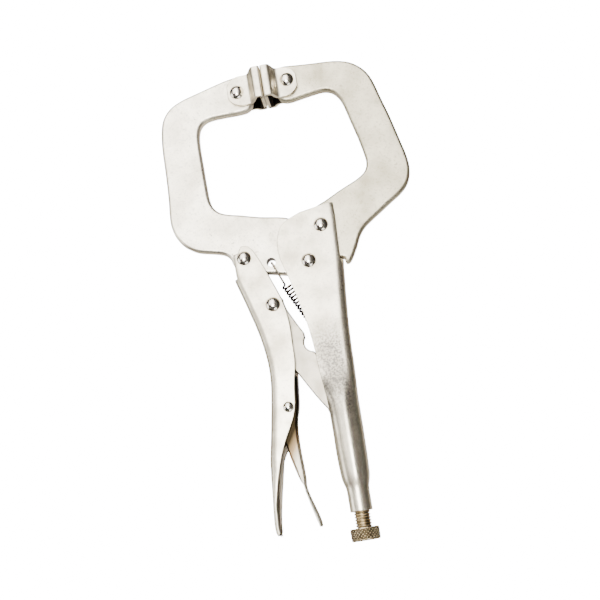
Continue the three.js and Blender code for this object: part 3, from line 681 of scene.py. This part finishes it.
link_outline = joined(
    arc((-29.9, 134.7), 6.5, 175, 25, 20),
    smooth_run([[-23.9, 133.6], [-21.3, 128.2], [-18.6, 122.6], [-15.3, 116.4]], 12),
    arc((-10.8, 110.2), 5.4, 142, 262, 24),
    smooth_run([[-8.2, 100.0], [-4.6, 90.0], [-0.4, 79.0], [2.1, 72.0]], 14),
    arc((-3.0, 69.0), 5.2, 20, -160, 22),
    smooth_run([[-9.4, 71.6], [-12.7, 76.6], [-17.2, 84.2], [-21.6, 92.2], [-24.0, 96.0], [-27.6, 101.0],
                [-31.2, 108.5], [-34.4, 120.0], [-36.4, 132.0]], 40),
)


def stamped_nickel(name):
    """Duller, warmer nickel on the inner stampings, with fine die lines along them, and painted shade on
    the inner faces.
    """
    f = Finish(name)
    cloud = f.noise(120.0, 3.0, 0.5)
    lines = f.noise(900.0, 2.0, 0.5, (1.0, 0.12, 1.0))
    inside = f.attribute("inside")
    colour = f.blend_colour(cloud.between(0.40, 0.66), (0.50, 0.45, 0.355, 1.0), (0.36, 0.32, 0.245, 1.0))
    # painted shade: the sheet's inner face laid dark brown, in the hollow of the channel
    f.feed("Base Color", f.blend_colour(inside, colour, (0.20, 0.165, 0.12, 1.0)))
    f.feed("Roughness", 0.34 + 0.14 * lines + 0.20 * inside)
    f.bump(lines, 0.12, 0.0003)
    return f


def lever_nickel(name):
    """The inner stampings' nickel, painted dark brown to near black as shade where the lever lies inside
    the handle.
    """
    f = stamped_nickel(name)
    # painted shade: dark brown, then near black, towards where the handle's flange overhangs the lever
    handle_flange_shade = (0.6 * f.axis(1) - f.axis(0)).between(-0.0360, -0.0258)
    tail = 1.0 - f.axis(1).between(-0.106, -0.101)
    f.stain(handle_flange_shade.between(0.0, 0.55), (0.20, 0.135, 0.07, 1.0))
    f.stain(handle_flange_shade.between(0.5, 1.0), (0.014, 0.010, 0.005, 1.0))
    f.stain(0.8 * tail, (0.36, 0.335, 0.285, 1.0))
    return f


LINK_HALF = 2.0  # half its thickness
toggle_link = plate_mesh("toggle_link_stamping", link_outline, [], LINK_HALF, 0.9, 5)
link_finish = stamped_nickel("link nickel")
# painted shade: the side wall round the link laid near black
link_edge_shade = 1.0 - (link_finish.axis(2) - MIDDLE_Z).away().between(0.0013, 0.00185)
link_finish.stain(link_edge_shade, (0.010, 0.008, 0.006, 1.0))
show(toggle_link, "toggle_link", link_finish.material, "toggle_link")

# ---------------------------------------------------------------- release lever
# Narrow channel pressed from 1.3 mm sheet, pinned inside the movable handle. Its flanges taper
# away and its back runs on as a flat, slightly hollow tail.
LEVER_SIDES = [
    [-23.2, 92.0, -26.4, -26.4, 92.2],
    [-23.3, 89.5, -29.6, -29.6, 89.6],
    [-23.6, 86.0, -32.6, -32.6, 86.0],
    [-24.1, 82.0, -34.9, -34.9, 82.0],
    [-24.6, 77.0, -36.2, -36.2, 77.0],
    [-25.7, 72.0, -36.4, -36.4, 72.0],
    [-26.8, 67.0, -36.0, -36.0, 67.0],
    [-27.4, 62.0, -35.6, -36.1, 62.0],
    [-27.6, 57.0, -34.9, -36.0, 57.0],
    [-27.6, 52.0, -33.8, -35.2, 52.0],
    [-27.5, 47.0, -32.6, -34.2, 47.0],
    [-27.3, 42.0, -31.4, -33.0, 42.0],
    [-27.2, 38.0, -30.6, -32.0, 38.0],
    [-27.2, 34.5, -30.0, -30.9, 34.5],
    [-27.5, 31.0, -29.1, -29.3, 31.0],
    [-26.8, 27.0, -28.5, -28.9, 27.0],
    [-25.7, 23.0, -27.6, -28.0, 23.0],
    [-24.5, 19.0, -26.7, -27.1, 19.0],
    [-23.3, 15.0, -25.7, -26.0, 15.0],
    [-22.5, 11.5, -24.9, -25.2, 11.6],
    [-22.2, 9.2, -24.2, -24.4, 9.4],
    [-22.5, 7.8, -24.0, -24.1, 8.1],
]
release_lever = pressed_channel(
    "release_lever_pressing", channel_table(LEVER_SIDES), 3.4, 1.7, [(0.0, 1.3)], 1.0
)
soften_edges(release_lever, 0.2)
show(release_lever, "release_lever", lever_nickel("lever nickel").material, "release_lever")

# ---------------------------------------------------------------- adjusting screw
# Rolled 3/8 inch thread on a steel rod, yellow zinc plated. It runs in the handle's neck and its
# tip backs up the toggle link.


def capped_rings(name, rings, first_end, last_end, flip=False):
    """A closed skin over rings of points, each ring wrapped round, its two ends drawn to a point.

    flip turns over the quads between the rings, and leaves the fans at the two ends.
    """
    rows, columns = rings.shape[:2]
    ring = np.arange(columns)
    beside = np.roll(ring, -1)
    last = (rows - 1) * columns
    centre = np.full(columns, rows * columns)
    first_fan = np.stack([ring, beside, centre], axis=1)
    last_fan = np.stack([beside + last, ring + last, centre + 1], axis=1)
    quads = grid_faces(rows, columns, around=True).reshape(-1, 4)
    if flip:
        quads = quads[:, ::-1]
    points = np.vstack([rings.reshape(-1, 3), first_end, last_end])
    return add_mesh(name, points, quads.tolist() + first_fan.tolist() + last_fan.tolist())


def turned_surface(name, radius, heights, groove):
    """A surface round the screw's axis: radius is a rows x columns grid, heights one per row.

    A point stands at radius[i, j] from the axis, at angle 2 pi j / columns and height heights[i],
    rising. groove, 0 to 1 on the same grid, grows with a point's depth; the finish darkens with it.
    """
    a = np.linspace(0.0, 2 * np.pi, radius.shape[1], endpoint=False)
    y = np.broadcast_to(heights[:, None], radius.shape)
    rings = np.stack([radius * np.cos(a), y, radius * np.sin(a)], axis=-1)
    piece = capped_rings(name, rings, [0.0, heights[0], 0.0], [0.0, heights[-1], 0.0])
    mark(piece, "groove", np.append(groove.reshape(-1), [0.0, 0.0]))
    return piece


def wave(x):
    """Triangle wave: 0 at whole numbers, 1 half way between them."""
    return 1.0 - np.abs(2.0 * (x - np.floor(x)) - 1.0)


def zinc_plate(name, shade):
    """Yellow passivated zinc: brassy, a little iridescent, darker the deeper a point lies in its grooves.
    """
    f = Finish(name)
    cloud = f.noise(260.0, 3.0, 0.6)
    grime = f.noise(700.0, 2.0, 0.5)
    bright = (0.84 * shade, 0.685 * shade, 0.435 * shade, 1.0)
    worn = (0.58 * shade, 0.46 * shade, 0.275 * shade, 1.0)
    gold = f.blend_colour(cloud.between(0.38, 0.64), bright, worn)
    gold = f.blend_colour(grime.between(0.55, 0.80), gold, (0.18, 0.135, 0.08, 1.0))
    # darker, towards near black, the deeper a point lies in the thread or knurl
    f.feed("Base Color", f.blend_colour(f.attribute("groove"), gold, (0.05, 0.036, 0.018, 1.0)))
    f.feed("Roughness", 0.26 + 0.16 * cloud)
    f.bump(grime, 0.10, 0.0002)
    return f


PITCH = 1.6
THREAD_ROOT = 3.85
THREAD_DEPTH = 0.75
THREAD_LOW, THREAD_HIGH = 3.5, 36.0
thread_y = np.linspace(THREAD_LOW, THREAD_HIGH, 325)
turn = np.linspace(0.0, 1.0, 64, endpoint=False)
flank = np.clip(1.25 * wave(thread_y[:, None] / PITCH - turn[None, :]) - 0.12, 0.0, 1.0)
runout = ease(thread_y, THREAD_HIGH, 33.5) * ease(thread_y, THREAD_LOW, 4.2)
thread_r = THREAD_ROOT + THREAD_DEPTH * flank * runout[:, None]
rod_y = np.array([36.2, 58.6, 59.6, 60.0])
rod_r = np.array([3.95, 3.95, 3.2, 2.4])[:, None] * np.ones((1, 64))
screw_r = np.vstack([thread_r, rod_r])
screw_groove_dark = np.clip((4.35 - screw_r) / 0.4, 0.0, 0.55)
screw = turned_surface("adjusting_screw_thread", screw_r, np.concatenate([thread_y, rod_y]), screw_groove_dark)
show(screw, "adjusting_screw", zinc_plate("thread zinc", 1.0).material, "adjusting_screw")

# ---------------------------------------------------------------- adjusting knob
# Short turned head with a diamond knurl, chamfered at both ends, the same yellow zinc.
KNURLS = 24
KNURL_DEPTH = 0.75
knob_y = np.concatenate([np.linspace(-3.5, -2.6, 6), np.linspace(-2.5, 2.7, 70), np.linspace(2.8, 3.5, 5)])
around = np.linspace(0.0, 1.0, 336, endpoint=False)[None, :]
chamfer = np.interp(knob_y, [-3.5, -3.1, -2.6, 2.8, 3.2, 3.5], [7.3, 7.9, 8.15, 8.15, 7.95, 7.6])[:, None]
lead = knob_y[:, None] / 2.0
diamonds = np.minimum(wave(KNURLS * around + lead), wave(KNURLS * around - lead))
knurled = ease(np.abs(knob_y - 0.1), 3.1, 2.5)[:, None]
knob_r = chamfer - KNURL_DEPTH * knurled * (1.0 - np.clip(1.4 * diamonds, 0.0, 1.0))
knob_groove_dark = np.clip((chamfer - knob_r) / KNURL_DEPTH, 0.0, 1.0)
knob = turned_surface("adjusting_knob_knurl", knob_r, knob_y, knob_groove_dark)
show(knob, "adjusting_knob", zinc_plate("knob zinc", 0.76).material, "adjusting_knob")

# ---------------------------------------------------------------- swivel pads
# Each pad is one folded strip of 2 mm sheet: a flat face, both sides bent back, then stepped in
# to two rounded ears that hug the jaw tip.


def rounded_path(corners, reach, steps=7):
    """A bent line with each corner replaced by a short curve that starts reach before it."""
    corners = np.asarray(corners, dtype=float)
    parts = [corners[:1]]
    t = np.linspace(0.0, 1.0, steps)[:, None]
    for before, corner, after in zip(corners[:-2], corners[1:-1], corners[2:]):
        a = corner + (before - corner) / np.linalg.norm(before - corner) * reach
        b = corner + (after - corner) / np.linalg.norm(after - corner) * reach
        parts.append((1 - t) ** 2 * a + 2 * t * (1 - t) * corner + t**2 * b)
    parts.append(corners[-1:])
    return np.vstack(parts)


def pad_skin(name, side, ear_low, ear_high, reach):
    """Outer skin of a pad, carried across its height.

    A bent line in x and z gives the pad's section from one ear tip to the other; at each of its
    points the sheet spans in y from the lower to the upper edge of the pad at that distance
    from the face.
    """
    half = [[0.15, 11.6], [5.1, 11.6], [8.0, 5.8], [reach - 0.6, 5.8]]
    line = [[d, -z] for d, z in half[::-1]] + half
    path = rounded_path(line, 1.5)
    steps = np.linalg.norm(np.diff(path, axis=0), axis=1)
    way = np.concatenate([[0.0], np.cumsum(steps)])
    total = way[-1]
    ends = 12.0 * (1.0 - np.cos(np.linspace(0.0, np.pi / 2, 26)))
    even = np.concatenate([ends, np.linspace(12.0, total - 12.0, 120)[1:-1], total - ends[::-1]])
    section = np.stack([np.interp(even, way, path[:, k]) for k in range(2)], axis=1)
    depth = section[:, 0]
    low = np.interp(depth, *np.array(ear_low).T)
    high = np.interp(depth, *np.array(ear_high).T)
    t = np.linspace(0.0, 1.0, 25)
    y = low[:, None] + (high - low)[:, None] * t
    x = np.broadcast_to((-15.5 + side * depth)[:, None], y.shape)
    z = np.broadcast_to(section[:, 1][:, None], y.shape)
    points = np.stack([x, y, z], axis=-1)
    quads = grid_faces(*y.shape)
    if side > 0:
        quads = quads[..., ::-1]
    return add_mesh(name, points.reshape(-1, 3), quads.reshape(-1, 4).tolist())


def bend_sheet(piece, thickness, finish):
    """Gives a face its sheet thickness, inwards; its inner side is painted near black as shade."""
    piece.data.materials.append(finish)
    piece.data.materials.append(pad_inside_shade.material)
    solid = piece.modifiers.new("sheet", "SOLIDIFY")
    solid.thickness = thickness / 1000.0
    solid.offset = -1.0
    solid.use_even_offset = True
    solid.material_offset = 1


PAD_LOW, PAD_HIGH = 257.7, 276.8  # the flat face's lower and upper edges
EAR_START = 5.4


def ear_edges(centre, radius, reach):
    """Lower and upper edge of a pad by distance from its face: flat at first, then a rounded ear."""
    d = np.linspace(EAR_START, reach, 60)
    blend = ease(d, EAR_START, EAR_START + 4.0)
    round_half = np.sqrt(np.maximum(radius**2 - np.maximum(d - centre[0], 0.0) ** 2, 1.0))
    low = PAD_LOW + (centre[1] - round_half - PAD_LOW) * blend
    high = PAD_HIGH + (centre[1] + round_half - PAD_HIGH) * blend
    d = np.append(0.0, d)
    return np.stack([d, np.append(PAD_LOW, low)], axis=1), np.stack([d, np.append(PAD_HIGH, high)], axis=1)


pad_finish = sheet_nickel("pad nickel", 0.26)
# painted shade: the pads' inner sides, in the hollow of the fold, laid near black
pad_inside_shade = Finish("pad inside shade")
pad_inside_shade.shader.inputs["Base Color"].default_value = (0.022, 0.018, 0.013, 1.0)
pad_inside_shade.shader.inputs["Roughness"].default_value = 0.55
for body, side, ear_centre, ear_radius, reach in (
    ("moving_pad", -1.0, (12.8, 265.6), 9.3, 22.0),
    ("fixed_pad", 1.0, (11.8, 266.2), 9.2, 20.9),
):
    pad = pad_skin(body + "_folding", side, *ear_edges(ear_centre, ear_radius, reach), reach)
    bend_sheet(pad, 2.0, pad_finish.material)
    soften_edges(pad, 0.3)
    show(pad, body, pad_finish.material, body)

# ---------------------------------------------------------------- tension spring
# Hard-drawn wire 1.24 mm thick wound in 20 open turns, one end drawn out over the jaw's face and
# hooked into its hole. Its upper side, on one side of the coil, is painted black as shade.


def wire_along(name, path, radius, shaded, sides=12):
    """A round wire: a circle carried along the path without twist, its ends closed.

    Its upper part that lies in the direction shaded from the coil's axis is marked for painted shade.
    """
    ahead = np.gradient(path, axis=0)
    ahead /= np.linalg.norm(ahead, axis=1)[:, None]
    across = np.zeros_like(path)
    across[0] = np.cross(ahead[0], [0.3, 0.9, 0.2])
    across[0] /= np.linalg.norm(across[0])
    for i in range(1, len(path)):
        kept = across[i - 1] - ahead[i] * np.dot(across[i - 1], ahead[i])
        across[i] = kept / np.linalg.norm(kept)
    third = np.cross(ahead, across)
    a = np.linspace(0.0, 2 * np.pi, sides, endpoint=False)[:, None]
    rings = path[:, None] + radius * (across[:, None] * np.cos(a) + third[:, None] * np.sin(a))
    piece = capped_rings(name, rings, path[0], path[-1])
    points = np.vstack([rings.reshape(-1, 3), path[0], path[-1]])
    # marks where painted shade goes: the upper side of the wire, on the shaded side of the coil
    upper = ease(points[:, 2], -1.2, -0.2)
    mark(piece, "painted_coil_shade", upper * ease((points - coil_start) @ shaded, -0.9, 0.6))
    return piece


along = np.array([0.437, -0.899, 0.0]) / np.hypot(0.437, 0.899)
beside = np.array([along[1], -along[0], 0.0])
coil_start = np.array([-21.2, 145.6, 0.0])
TURNS = 20
COIL_PITCH = 2.09
COIL_RADIUS = 2.25
WIRE_RADIUS = 0.62
a = np.linspace(0.0, 2 * np.pi * TURNS, TURNS * 22 + 1)[:, None]
coil = coil_start + along * (COIL_PITCH * a / (2 * np.pi))
coil = coil + COIL_RADIUS * (beside * np.sin(a) + np.array([0.0, 0.0, 1.0]) * np.cos(a))
coil_end = coil_start + along * COIL_PITCH * TURNS
hook = np.array([
    [*SPRING_HOLE, -1.6], [*SPRING_HOLE, 1.2], [-26.95, 159.2, 3.8], [-25.9, 157.0, 4.6],
    [-26.4, 157.7, 4.5], [-23.9, 151.3, 4.2], [-21.9, 146.3, 3.4],
])
tail = np.array([coil_end + along * 1.6 + [0, 0, 1.4], coil_end + along * 4.4, coil_end + along * 7.4])
spring_path = smooth_run(np.vstack([hook, coil[1::2], tail]), 1500)
spring = wire_along("tension_spring_wire", spring_path, WIRE_RADIUS, beside)


def spring_steel(name):
    """Bare steel wire, a dirty grey brown, painted black as shade where it is marked."""
    f = Finish(name)
    dirt = f.noise(500.0, 2.0, 0.5)
    wire = f.blend_colour(dirt.between(0.4, 0.7), (0.38, 0.32, 0.24, 1.0), (0.20, 0.165, 0.12, 1.0))
    # painted shade: near black where the wire is marked
    f.feed("Base Color", f.blend_colour(f.attribute("painted_coil_shade"), wire, (0.012, 0.010, 0.008, 1.0)))
    f.feed("Roughness", 0.36 + 0.2 * dirt)
    return f


show(spring, "tension_spring", spring_steel("spring wire").material, "tension_spring")

# ---------------------------------------------------------------- rivets
# Solid rivets with polished domed heads on both faces; the release lever's is the smaller one.


SHEET_GAP = 0.30  # from the handles' faces up to the rim of a head
ROUND = 64  # points round a rivet


def rivet_mesh(name, centre, head, rise, half, shank):
    """Two domes on a shank, turned about z: the profile runs from one crown to the other."""
    sphere = (head**2 + rise**2) / (2.0 * rise)
    crown = half + SHEET_GAP + rise
    a = np.linspace(0.0, np.arcsin(head / sphere), 22)
    dome_r = sphere * np.sin(a)[1:]
    dome_z = crown - sphere * (1.0 - np.cos(a))[1:]
    rim_r = np.array([head + 0.02, head, head - 0.25, shank])
    rim_z = np.array([half + 0.22, half + 0.10, half + 0.02, half - 0.1])
    r = np.concatenate([dome_r, rim_r, [shank], rim_r[::-1], dome_r[::-1]])[:, None]
    z = np.concatenate([dome_z, rim_z, [0.0], -rim_z[::-1], -dome_z[::-1]])[:, None]
    turn = np.linspace(0.0, 2 * np.pi, ROUND, endpoint=False)
    x = centre[0] + r * np.cos(turn)
    y = centre[1] + r * np.sin(turn)
    rings = np.stack([x, y, np.broadcast_to(z, x.shape)], axis=-1)
    return capped_rings(name, rings, [*centre, crown], [*centre, -crown], flip=True)


def polished_nickel(name):
    """Bright nickel polished by wear, softly clouded."""
    f = Finish(name)
    wear = f.noise(600.0, 3.0, 0.6)
    clouded = (0.68, 0.62, 0.51, 1.0)
    f.feed("Base Color", f.blend_colour(wear.between(0.5, 0.8), (0.86, 0.80, 0.69, 1.0), clouded))
    f.feed("Roughness", 0.17 + 0.10 * wear)
    return f


rivet_finish = polished_nickel("rivet nickel")
LARGE = (4.15, 2.1, 3.0)  # radius and rise of the head, radius of the shank
SMALL = (3.0, 1.5, 2.0)
RIVETS = {
    "fixed_jaw_rivet": ((4.6, 176.0), "fixed_handle", LARGE),
    "jaw_pivot_rivet": ((-5.7, 156.4), "fixed_handle", LARGE),
    "fixed_pad_rivet": ((-1.0, 267.1), "fixed_handle", LARGE),
    "moving_pad_rivet": ((-31.3, 264.9), "moving_jaw", LARGE),
    "handle_pivot_rivet": ((-42.2, 164.3), "movable_handle", LARGE),
    "link_rivet": ((-29.9, 134.7), "movable_handle", LARGE),
    "release_lever_rivet": ((-30.4, 75.5), "movable_handle", SMALL),
}
for node, (centre, body, (head, head_rise, shank)) in RIVETS.items():
    rivet = rivet_mesh(node + "_dome", centre, head, head_rise, HALF_WIDTH, shank)
    show(rivet, body, rivet_finish.material, node)

# ---------------------------------------------------------------- floor, light and camera
# Glowing white paper that curves up far away and that nothing reflects; a large softbox overhead
# with a bright strip for the tube, a wall of light low on the left, a small one in front, and the
# right side dark.
spin = np.linspace(0.0, 2 * np.pi, 97)[:-1]
rise = np.linspace(0.0, np.pi / 2, 13)
sweep_r = np.concatenate([[0.0001, 0.5, 2.0, 8.0], 20.0 + 6.0 * np.sin(rise), [26.0]])
sweep_z = np.concatenate([[0.0, 0.0, 0.0, 0.0], 6.0 * (1.0 - np.cos(rise)), [40.0]])
sweep = np.stack([
    sweep_r[:, None] * np.cos(spin),
    sweep_r[:, None] * np.sin(spin),
    np.broadcast_to(sweep_z[:, None] - 0.0002, (len(sweep_r), len(spin))),
], axis=-1)
floor_mesh = bpy.data.meshes.new("floor")
floor_quads = grid_faces(*sweep.shape[:2], around=True).reshape(-1, 4)
floor_mesh.from_pydata(sweep.reshape(-1, 3), [], floor_quads.tolist())
floor = bpy.data.objects.new("floor", floor_mesh)
bpy.context.scene.collection.objects.link(floor)
paper = bpy.data.materials.new("paper")
paper.use_nodes = True
paper_shader = paper.node_tree.nodes["Principled BSDF"]
paper_shader.inputs["Base Color"].default_value = (0.9, 0.9, 0.9, 1)
paper_shader.inputs["Roughness"].default_value = 0.9
paper_shader.inputs["Specular IOR Level"].default_value = 0.0
paper_shader.inputs["Emission Color"].default_value = (1.0, 1.0, 1.0, 1)
paper_shader.inputs["Emission Strength"].default_value = 14.0
floor.data.materials.append(paper)
floor.visible_glossy = False
floor.visible_diffuse = False


def softbox(name, place, aim, width, height, glow, reflected=True):
    """A rectangular light of the given radiance, out of the camera's sight."""
    lamp = bpy.data.lights.new(name, "AREA")
    lamp.shape = "RECTANGLE"
    lamp.size = width
    lamp.size_y = height
    lamp.energy = glow * np.pi * width * height
    box = bpy.data.objects.new(name, lamp)
    bpy.context.scene.collection.objects.link(box)
    box.location = place
    box.rotation_euler = (Vector(aim) - Vector(place)).to_track_quat("-Z", "Y").to_euler()
    box.visible_glossy = reflected
    box.visible_camera = False


def overhead(name, x_low, x_high, y_low, y_high, glow, z=1.15):
    """A softbox facing straight down at height z, between the given sides."""
    x = (x_low + x_high) / 2.0
    y = (y_low + y_high) / 2.0
    softbox(name, (x, y, z), (x, y, 0.0), x_high - x_low, y_high - y_low, glow)


overhead("overhead", -0.34, 0.06, -0.5, 2.6, 7.5)
overhead("overhead left", -1.3, -0.34, 0.12, 2.6, 5.5)
overhead("overhead right", 0.06, 0.34, 0.30, 2.6, 5.5)
overhead("tube strip", -0.30, 0.10, -0.45, 0.03, 22.0, 1.13)
overhead("dim right", 0.36, 1.2, -0.9, 1.2, 0.12)
softbox("left wall", (-1.35, -0.1, 0.32), (0.0, -0.1, 0.1), 0.9, 0.5, 5.0)
softbox("front", (0.45, -1.25, 0.62), (0.0, 0.0, 0.0), 0.7, 0.45, 6.0)
softbox("floor fill", (0.0, 0.0, 2.2), (0.0, 0.0, 0.0), 3.0, 3.0, 8.0, False)

world = bpy.data.worlds.new("studio")
world.use_nodes = True
sky = world.node_tree.nodes["Background"]
heading = world.node_tree.nodes.new("ShaderNodeTexCoord")
split = world.node_tree.nodes.new("ShaderNodeSeparateXYZ")
world.node_tree.links.new(heading.outputs["Generated"], split.inputs[0])
below = Wire(world.node_tree, split.outputs[2]).between(-0.30, -0.85)
tone = world.node_tree.nodes.new("ShaderNodeMix")
tone.data_type = "RGBA"
tone.inputs[6].default_value = (0.050, 0.043, 0.036, 1.0)
tone.inputs[7].default_value = (1.25, 1.15, 1.0, 1.0)
world.node_tree.links.new(below.socket, tone.inputs[0])
world.node_tree.links.new(tone.outputs[2], sky.inputs["Color"])
bpy.context.scene.world = world

lens = bpy.data.cameras.new("lens")
lens.sensor_width = 36.0
lens.lens = 72.0
camera = bpy.data.objects.new("camera", lens)
bpy.context.scene.collection.objects.link(camera)
right = Vector((0.98226, -0.15892, -0.09950))
up = Vector((0.17607, 0.96424, 0.19810))
back = Vector((0.06446, -0.21210, 0.97512))
turn = Matrix((right, up, back)).transposed().to_4x4()
camera.matrix_world = Matrix.Translation((0.04030, -0.14699, 0.68174)) @ turn
bpy.context.scene.camera = camera
